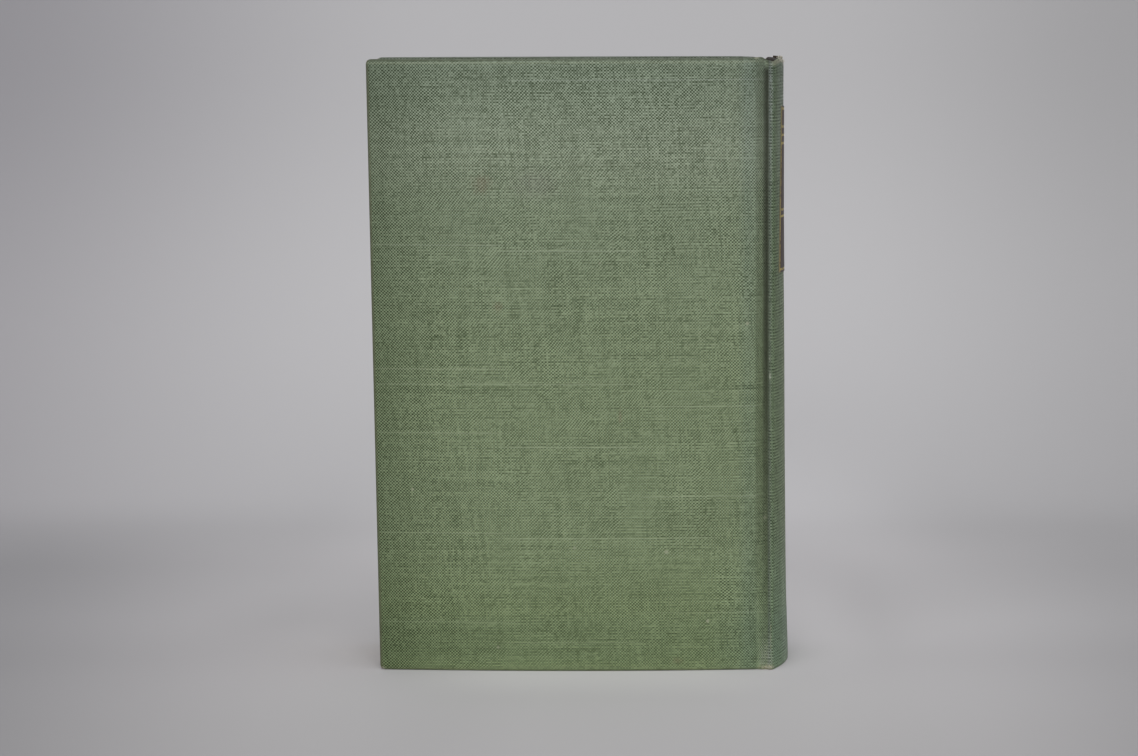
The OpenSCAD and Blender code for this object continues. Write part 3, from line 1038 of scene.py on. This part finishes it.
# Rubbed places: hue, least strength, how much more where it is rubbed or dotted, and their limits
RUBBED = (("#b4b9a8", 0.08, 0.8, "dots", ("u", JOINT + 1.5, JOINT + 7.5, 1.5), ("v", 14.0, 2.0)),
          ("#b8b18c", 0.05, 0.55, "rub", ("u", JOINT + 1.0, JOINT + 8.0, 1.2), ("v", 2.2, 0.8)))
# Rims of the boards: hue, strength and limits. The three dark lines, along the fore-edge, the tail and the
# head, are painted shade on the rounded rims, with some dirt at the head; the pale line below the head is
# rubbed.
RIM_SHADE_AND_WEAR = (("#55543f", 0.5, ("u", LEFT - 0.9, LEFT + 0.9, 0.25)),
        ("#55543f", 0.25, ("v", -0.9, 0.9, 0.25)),
        ("#4b4e3c", 0.5, ("v", TOP - 0.5, TOP + 0.9, 0.25)),
        ("#a3ab90", 0.22, ("v", TOP - 1.5, TOP - 0.8, 0.25)))


def spot(tree, place, x, z, half_w, half_h, border):
    """1 inside an oval on the sheet, 0 outside, with a ragged soft border."""
    centre = add(tree, "VectorMath", place, (LEFT + x, z, 0.0), operation="SUBTRACT")
    oval = add(tree, "VectorMath", centre, (1 / half_w, 1 / half_h, 0.0), operation="MULTIPLY")
    far = add(tree, "VectorMath", oval, out="Value", operation="LENGTH")
    ragged = add(tree, "TexNoise", {"Vector": place, "Scale": 1 / 2.2, "Detail": 3.0})
    uneven = add(tree, "Math", ragged, 0.9, far, operation="MULTIPLY_ADD")
    return product(tree, (uneven, 1.45, 1.45 - border))


def marked(tree, colour, place):
    """Stains and scuffs over a colour."""
    marks = [(hue, spot(tree, place, x, z, half_w, half_h, 0.9), strength)
             for x, z, half_w, half_h, strength, hue in STAINS]
    marks += [("#a9ab94", spot(tree, place, x, z, size, size, 0.5), 0.6) for x, z, size in SCUFFS]
    return coat(tree, colour, *marks)


def rubbed(tree, colour, place, axes, threads):
    """Painted shade and dirt in the groove, then all that is rubbed: the ridge, the foot, the rims and the
    cap; the rims also get dark lines of painted shade.
    """
    u, v = axes["u"], axes["v"]
    grit = add(tree, "TexNoise", {"Vector": place, "Scale": 1.0, "Detail": 4.0, "Roughness": 0.7})
    rub = product(tree, (grit, 0.42, 0.6))
    tops = add(tree, "Math", product(tree, (threads["over"], 0.05, 0.5)),
               product(tree, (threads["rows"], 0.1, 0.9, 0.0, 0.6)), operation="MAXIMUM")
    # The ridge is rubbed most near the head and the tail
    ends = add(tree, "Math", product(tree, (v, TOP - 30.0, TOP - 6.0)),
               product(tree, (v, 12.0, 3.0)), operation="MAXIMUM")
    amount = {"rub": rub, "dots": product(tree, rub, tops), "ends": ends}

    def strength(least, more, kind):
        return add(tree, "Math", amount[kind], more, least, operation="MULTIPLY_ADD")

    # The groove's dark coat is painted shade, with some dirt
    layers = [("#2b2d24", *on_axes(axes, GROOVE_SHADE_AND_DIRT)),
              ("#b9bfbc", (u, JOINT + 5.6, JOINT + 7.4, 0.5), amount["dots"], strength(0.22, 0.75, "ends"))]
    layers += [("#c3c6b8", spot(tree, place, JOINT - LEFT + x, z, half_w, half_h, 0.6),
                strength(0.25, 0.6, "dots")) for x, z, half_w, half_h in BARE]
    layers += [(hue, *on_axes(axes, parts), strength(least, more, kind))
               for hue, least, more, kind, *parts in RUBBED]
    # Dark lines of painted shade along the rims, and a rubbed pale line below the head
    layers += [(hue, *on_axes(axes, parts), share) for hue, share, *parts in RIM_SHADE_AND_WEAR]
    # The cap is worn to its filling, palest in its middle, and so is the head's corner
    worn_cap = coat(tree, "#a9a892", ("#d6d3c2", (u, JOINT + 9.0, JOINT + 16.0)))
    layers += [(worn_cap, (v, TOP - 1.4, TOP + 1.5, 0.7), (u, JOINT + 7.5, JOINT + 30.0, 1.0),
                strength(0.25, 0.5, "rub")),
               ("#b3b39c", spot(tree, place, JOINT - LEFT - 0.3, TOP, 1.6, 0.9, 0.8), 0.55)]
    return coat(tree, colour, *layers)


# %% Dress the case
def bookcloth():
    """Starch-filled cloth: matt, with little gloss and a faint sheen."""
    material, tree, shader = new_material("woven_bookcloth", 0.86, Specular_IOR_Level=0.28,
                                          Sheen_Weight=0.06, Sheen_Roughness=0.5)
    flat = add(tree, "UVMap", uv_map=FLAT)
    place = add(tree, "VectorMath", flat, (1 / MM, 1 / MM, 1.0), operation="MULTIPLY")
    axes = dict(zip("uv", add(tree, "SeparateXYZ", place).node.outputs))
    threads = weave(tree, place)
    lengthwise = add(tree, "VectorMath", place, (1.0, 3.0, 1.0), operation="MULTIPLY")
    threads["fibre"] = add(tree, "TexNoise", {"Vector": lengthwise, "Scale": 1 / 0.45, "Detail": 3.0,
                                              "Roughness": 0.6})
    threads["blotch"] = add(tree, "TexNoise", {"Vector": place, "Scale": 1 / 22.0, "Detail": 3.0})
    colour = tinted_and_shaded(tree, new_cloth(tree, place, axes, threads), axes)
    colour = rubbed(tree, marked(tree, colour, place), place, axes, threads)
    # Each crossing is a small pillow, and slubs stand a little higher
    pillow = add(tree, "Math", threads["over"], operation="ABSOLUTE")
    relief = add(tree, "Math", threads["weft"], 0.9, pillow, operation="MULTIPLY_ADD")
    relief = add(tree, "Math", threads["fibre"], 0.3, relief, operation="MULTIPLY_ADD")
    surface(tree, shader, colour, relief, 0.5, 0.09 * MM)
    return material


cloth_material = bookcloth()
for obj in (rear_case, front_case):
    dress(obj, cloth_material)
print("bookcloth: %d nodes" % len(cloth_material.node_tree.nodes))

# %% [markdown]
# ## Paper, card, gauze and thread
# The pages are cut with a guillotine, which leaves fine lines, one for each few leaves, toned by
# age and dust. Endpaper is a matt wove paper, the gauze an open weave stiff with paste, and the
# lining and the board are kraft paper and grey-brown millboard with visible fibres. These lie flat
# or nearly so, so their patterns can follow the book's own X, Y and Z.

# %% Page edges
def page_edges():
    """Cut paper: dead matt, with a fine line for each leaf or two, dust, and painted shade at the back."""
    material, tree, shader = new_material("trimmed_page_edges", 0.9, Specular_IOR_Level=0.25)
    leaf = add(tree, "Attribute", attribute_name="leaf", attribute_type="GEOMETRY", out="Fac")
    place = add(tree, "TexCoord", out="Object")
    x, _, z = add(tree, "SeparateXYZ", place).node.outputs
    # A line for each leaf or two, which changes slowly along the cut
    run = product(tree, add(tree, "Math", x, z, operation="ADD"), 1 / (30 * MM))
    along = add(tree, "CombineXYZ", product(tree, leaf, 0.8), run)
    lines = add(tree, "TexNoise", {"Vector": along, "Scale": 1.0, "Detail": 3.0, "Roughness": 0.7})
    dust = add(tree, "TexNoise", {"Vector": place, "Scale": 1 / (12 * MM), "Detail": 3.0})
    # The last coat is painted shade, near black, where the gatherings meet the spine, for the dark hollow
    # under the cap
    colour = coat(tree, "#b5a482", ("#ddd2b6", (lines, 0.3, 0.7)), ("#a08f6d", (dust, 0.4, 0.8, 0.0, 0.35)),
                  ("#2a251d", (x, 54 * MM, 60 * MM, 0.0, 0.95)))
    surface(tree, shader, colour, lines, 0.6, 0.08 * MM)
    return material


dress(sewn_pages, page_edges())


# %% Flat papers and card
def fibrous(name, base, fibre, size, speck=0.35):
    """Paper or board: matt, mottled by short fibres that lie every way, drawn coarser than real
    ones so that they show."""
    material, tree, shader = new_material(name, 0.92, Specular_IOR_Level=0.25)
    place = add(tree, "TexCoord", out="Object")
    short = add(tree, "TexNoise", {"Vector": place, "Scale": 1 / size, "Detail": 5.0, "Roughness": 0.7})
    slow = add(tree, "TexNoise", {"Vector": place, "Scale": 1 / (25 * MM)})
    colour = coat(tree, base, (fibre, (short, 0.4, 0.75, 0.0, speck)), (fibre, (slow, 0.35, 0.8, 0.0, 0.3)))
    surface(tree, shader, colour, short, 0.25, 0.05 * MM)
    return material


endpaper = fibrous("wove_endpaper", "#e2d9c1", "#cbbd9a", 0.5 * MM)
for obj in endpaper_folds:
    dress(obj, endpaper)
for name in ("front_flyleaf", "rear_flyleaf", "front_pastedown", "rear_pastedown"):
    dress(nodes[name], endpaper)
dress(settled["back_lining"], fibrous("kraft_lining", "#a98a5c", "#7f6238", 0.8 * MM))
# The spine card is near black as painted shade, for the dark hollow under the cap
dress(settled["spine_inlay"], fibrous("shade_dark_spine_card", "#4f4638", "#352f27", 0.6 * MM, speck=0.5))
millboard = fibrous("grey_millboard", "#8f816b", "#655846", 0.7 * MM, speck=0.6)
for name in ("front_board", "rear_board"):
    dress(settled[name], millboard)

# %% Gauze
# Millimetres from thread to thread
GAUZE_PITCH = 0.9


def gauze():
    """Threads stand apart: a pale line for each, in both directions, over the paste between."""
    material, tree, shader = new_material("open_gauze", 0.9, Specular_IOR_Level=0.2)
    place = add(tree, "VectorMath", add(tree, "TexCoord", out="Object"), (1 / MM,) * 3,
                operation="MULTIPLY")
    lines = []
    for across in add(tree, "SeparateXYZ", place).node.outputs[1:]:
        wave = add(tree, "Math", product(tree, across, math.pi / GAUZE_PITCH), operation="SINE")
        lines.append(add(tree, "Math", wave, operation="ABSOLUTE"))
    grid = add(tree, "Math", *lines, operation="MAXIMUM")
    surface(tree, shader, coat(tree, "#b8a888", ("#ece4cd", (grid, 0.7, 0.95))), grid, 0.6, 0.12 * MM)
    return material


open_gauze = gauze()
for obj in (settled["mull"], nodes["front_mull_flap"], nodes["rear_mull_flap"]):
    dress(obj, open_gauze)


# %% Headband thread
def cotton(name, dark, light):
    """Cotton thread: a soft fuzz with a little sheen."""
    material, tree, shader = new_material(name, 0.7, Specular_IOR_Level=0.35, Sheen_Weight=0.1)
    place = add(tree, "VectorMath", add(tree, "TexCoord", out="Object"), (1.0, 4.0, 1.0),
                operation="MULTIPLY")
    fluff = add(tree, "TexNoise", {"Vector": place, "Scale": 1 / (0.25 * MM), "Detail": 3.0})
    surface(tree, shader, coat(tree, dark, (light, fluff)), fluff, 0.4, 0.04 * MM)
    return material


# The headband threads are near black as painted shade, for the dark hollow under the cap at the head
shade_dark_brown_thread = cotton("shade_dark_brown_cotton", "#1f1b15", "#332d24")
shade_dark_green_thread = cotton("shade_dark_green_cotton", "#171b14", "#262c20")
for obj in bands:
    dress(obj, shade_dark_brown_thread, shade_dark_green_thread)
for name in ("headband", "tailband"):
    dress(settled[name], shade_dark_brown_thread)
dress(frayed, cotton("bare_cloth_thread", "#bfbba8", "#e4e0d2"))

# %% [markdown]
# ## The label
# The label is thin dark leather, pared at its edges and tooled in gold with a frame and a few
# rules. Its lettering is left off, so the panels between the rules stay bare. The rules are
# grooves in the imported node, and the gold lies in them, worn off where a thumb has rubbed. It is a
# share in the material and no mesh, because leaf has no thickness that the eye can see.

# %% Tooled leather
# Heights of the rules, as shares of the label
RULES = (0.33, 0.37, 0.77, 0.82, 0.87)
# Width of a gold line, its distance from the label's edge, and its soft border, in millimetres
RULE_W, FRAME_IN, CRISP = 0.75, 0.45, 0.06
# Grains of the leather's pebbled skin in a millimetre
GRAINS = 1.9


def gold_lines(tree, across, up):
    """1 on the frame and the rules; across is from the label's middle, up is in millimetres."""
    side = SPREAD * LABEL_HI.y / MM - FRAME_IN
    low, high = LABEL_LO.z / MM, LABEL_HI.z / MM
    gold = product(tree, (across, side - RULE_W, side, CRISP))
    inside = product(tree, (across, -1.0, side, CRISP))
    heights = [low + FRAME_IN, high - FRAME_IN - RULE_W]
    heights += [low + share * (high - low) for share in RULES]
    for height in heights:
        rule = product(tree, (up, height, height + RULE_W, CRISP), inside)
        gold = add(tree, "Math", gold, rule, operation="MAXIMUM")
    return gold


def tooled_leather():
    """Dyed leather: satin and pebbled, with gold leaf that is half metal and half dirt."""
    material, tree, shader = new_material("tooled_label_leather", 0.55, Specular_IOR_Level=0.45)
    place = add(tree, "VectorMath", add(tree, "TexCoord", out="Object"), (1 / MM,) * 3,
                operation="MULTIPLY")
    _, y, z = add(tree, "SeparateXYZ", place).node.outputs
    # The label's own two directions, as it is pasted on askew
    turned = add(tree, "Math", z, -ASKEW, ASKEW * LABEL_MID / MM, operation="MULTIPLY_ADD")
    across = add(tree, "Math", add(tree, "Math", y, turned, operation="ADD"), operation="ABSOLUTE")
    up = add(tree, "Math", y, ASKEW, z, operation="MULTIPLY_ADD")
    thumbed = add(tree, "TexNoise", {"Vector": place, "Scale": 1 / 1.4, "Detail": 4.0, "Roughness": 0.7})
    gold = product(tree, gold_lines(tree, across, up), (thumbed, 0.36, 0.52))
    dye = add(tree, "TexNoise", {"Vector": place, "Scale": 1 / 6.0, "Detail": 3.0})
    rim = SPREAD * LABEL_HI.y / MM
    colour = coat(tree, "#3f332f", ("#5f524c", dye), ("#8f8a66", (across, rim - 0.4, rim + 1.0, 0.15), 0.6),
                  ("#c9b870", gold))
    tree.links.new(product(tree, gold, 0.5), shader.inputs["Metallic"])
    grain = add(tree, "TexVoronoi", {"Vector": place, "Scale": GRAINS})
    surface(tree, shader, colour, product(tree, grain, -1.0), 0.35, 0.08 * MM)
    return material


dress(settled["spine_label"], tooled_leather())

# %% [markdown]
# ## Floor, backdrop, light and camera
# The book stands on a pale sheet that sweeps up behind it. A wide soft lamp hangs overhead and a
# little in front, another fills in from the camera's side, and the world adds an even grey.

# %% Floor and backdrop
SWEEP_Y = 0.24
SWEEP_R = 0.35


def sweep():
    bm = bmesh.new()
    ends = [bm.verts.new((x, -2.5, 0)) for x in (-3.0, 3.0)]
    edges = [bm.edges.new(ends)]
    verts, edges = new_row(bmesh.ops.extrude_edge_only(bm, edges=edges)["geom"])
    bmesh.ops.translate(bm, vec=(0, SWEEP_Y + 2.5, 0), verts=verts)
    made = bmesh.ops.spin(bm, geom=verts + edges, cent=(0, SWEEP_Y, SWEEP_R), axis=(1, 0, 0),
                          angle=math.pi / 2, steps=24, use_merge=False, use_duplicate=False)
    verts, edges = new_row(made["geom_last"])
    verts, edges = new_row(bmesh.ops.extrude_edge_only(bm, edges=edges)["geom"])
    bmesh.ops.translate(bm, vec=(0, 0, 2.5), verts=verts)
    bmesh.ops.recalc_face_normals(bm, faces=bm.faces)
    return bm


# The backdrop's colour carries painted light and shade: painted light where the floor turns up and where the
# book's shadow would fall, painted shade in front of the book and at its left. Each patch has its tone and
# its limits in metres.
PAINTED_LIGHT_PATCHES = ((1.03, ("y", 0.15, 0.3, 0.07)), (1.11, ("y", 0.02, 0.17, 0.035)), (0.9, ("y", -0.02, -0.12)),
           (1.2, ("x", -0.085, 0.115, 0.04), ("y", 0.05, 0.2), ("y", 0.36, 0.2)),
           (1.27, ("x", -0.0275, 0.0875, 0.0175), ("y", -0.03, 0.03, 0.15, 1.0), ("y", 0.16, 0.05)),
           (1.18, ("x", -0.045, 0.055, 0.02), ("y", -0.035, 0.0, 0.018)),
           (0.9, ("x", -0.125, -0.09, 0.025), ("y", 0.02, 0.07, 0.03)))


def painted_light_paper():
    """Matt grey paper with a painted falloff of light: palest in the middle of the wall and of the floor,
    with painted pools of light and shade from the patches.
    """
    material, tree, shader = new_material("backdrop_paper_painted_light", 0.95, Specular_IOR_Level=0.1)
    place = add(tree, "SeparateXYZ", add(tree, "TexCoord", out="Object"))
    axes = dict(zip("xyz", place.node.outputs))
    x, y, z = axes.values()
    wall = coat(tree, "#acaaad", ("#d1d0d1", (x, -0.38, -0.09)), ("#bab9ba", (x, 0.09, 0.3)),
                ((0.82, 0.82, 0.83), (z, 0.03, 0.19)),
                ((1.049, 1.049, 1.036), (z, 0.03, 0.19), (x, -0.33, -0.02)))
    ground = coat(tree, "#9c9b9d", ("#cac8c9", (x, -0.24, -0.06)), ("#acabac", (x, 0.1, 0.22)))
    patches = [((tone,) * 3, *on_axes(axes, parts)) for tone, *parts in PAINTED_LIGHT_PATCHES]
    colour = coat(tree, ground, (wall, (y, 0.12, 0.26)), *patches)
    tree.links.new(colour, shader.inputs["Base Color"])
    return material


floor = piece("backdrop_sheet", sweep())
dress(floor, painted_light_paper())
floor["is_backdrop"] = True


# %% Lamps
def lamp(name, place, target, size, watts):
    data = bpy.data.lights.new(name, "AREA")
    data.shape = "RECTANGLE"
    data.size, data.size_y = size
    data.energy = watts
    obj = bpy.data.objects.new(name, data)
    bpy.context.scene.collection.objects.link(obj)
    obj.location = place
    obj.rotation_euler = (Vector(target) - Vector(place)).to_track_quat("-Z", "Y").to_euler()


lamp("overhead", (0.1, -0.2, 1.4), (0, 0, 0.1), (2.4, 2.0), 7.5)
lamp("front_fill", (-0.3, -1.7, 0.9), (0, 0, 0.12), (3.0, 1.8), 27.6)
world = bpy.data.worlds.new("studio")
bpy.context.scene.world = world
world.use_nodes = True
world.node_tree.nodes["Background"].inputs["Color"].default_value = linear("#c8c8cc")
world.node_tree.nodes["Background"].inputs["Strength"].default_value = 0.55

# %% [markdown]
# ## Camera
# The camera was found by fitting the book's edges to the photograph: a long lens, a little above
# the book's head, looking slightly down and a touch to the left, with a very small roll.

# %% Camera
CAMERA_AT = Vector((29.2, -786.5, 221.1)) * MM
YAW, PITCH, ROLL = -0.0423, 0.1609, -0.0113
FOCAL_PIXELS, IMAGE_WIDTH = 2444.4, 1138

forward = Vector((math.sin(YAW) * math.cos(PITCH), math.cos(YAW) * math.cos(PITCH),
                  -math.sin(PITCH)))
level = Vector((math.cos(YAW), -math.sin(YAW), 0))
upright = level.cross(forward)
right = math.cos(ROLL) * level + math.sin(ROLL) * upright
up = -math.sin(ROLL) * level + math.cos(ROLL) * upright
lens = bpy.data.cameras.new("camera")
lens.sensor_width = 36.0
lens.lens = 36.0 * FOCAL_PIXELS / IMAGE_WIDTH
camera = bpy.data.objects.new("camera", lens)
bpy.context.scene.collection.objects.link(camera)
turn = Matrix((right, up, -forward)).transposed().to_4x4()
camera.matrix_world = Matrix.Translation(CAMERA_AT) @ turn
bpy.context.scene.camera = camera
bpy.context.scene.view_settings.view_transform = "Standard"
print("lens %.2f mm" % lens.lens)

# %% Sizes, and finish
visual_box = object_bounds()
for name, box in (("packed", cad_box), ("dressed", visual_box)):
    print(name, "box in mm:", [round((b - a) / MM, 2) for a, b in zip(*box)])
